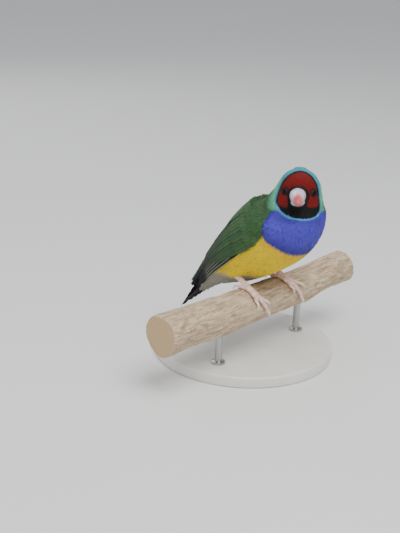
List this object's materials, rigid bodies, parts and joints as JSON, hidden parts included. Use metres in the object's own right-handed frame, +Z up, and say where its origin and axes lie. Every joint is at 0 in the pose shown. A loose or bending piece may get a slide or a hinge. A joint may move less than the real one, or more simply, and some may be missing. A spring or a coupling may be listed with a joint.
{
  "type": "gouldian finch",
  "caption": "A life-size red-headed gouldian finch, still, gripping a short cut length of branch held over a flat round base by two short rods",
  "frame": {"origin": "the middle of the stand base's underside, which is the middle of the bounding box's bottom", "axes": "+Z up; the bird heads along -Y, its left side is +X and its head is turned towards -X; the branch runs along X, the longest way"},
  "size_m": [0.124, 0.08, 0.0895],
  "materials": {
    "plumage_body": "soft small feathers: green back, purple breast, yellow belly, pale vent",
    "plumage_head": "soft short feathers: red mask with a black line and a sky-blue ring",
    "plumage_wing": "flat overlapping feathers, green, darker towards the tips",
    "plumage_tail": "flat overlapping feathers, black",
    "bill_horn": "smooth pearly horn with a reddish tip",
    "eye": "wet dark brown, glossy",
    "leg_skin": "small overlapping scutes, pink",
    "claw_horn": "smooth pale horn",
    "bark": "dry fibrous bark, tan and grey",
    "stand": "smooth pale satin lacquer",
    "stand_rod": "fine brushed steel"
  },
  "bodies": {
    "root": {"torso": "plumage_body", "neck": "plumage_body", "head": "plumage_head", "bill_upper": "bill_horn", "bill_lower": "bill_horn", "eye_left": "eye", "eye_right": "eye", "wing_left": "plumage_wing", "wing_right": "plumage_wing", "tail": "plumage_tail", "leg_left": "leg_skin", "leg_right": "leg_skin", "perch": "bark", "stand_base": "stand", "stand_rod_left": "stand_rod", "stand_rod_right": "stand_rod", "claw_left_inner": "claw_horn", "claw_left_middle": "claw_horn", "claw_left_outer": "claw_horn", "claw_left_hind": "claw_horn", "claw_right_inner": "claw_horn", "claw_right_middle": "claw_horn", "claw_right_outer": "claw_horn", "claw_right_hind": "claw_horn"}
  },
  "joints": []
}
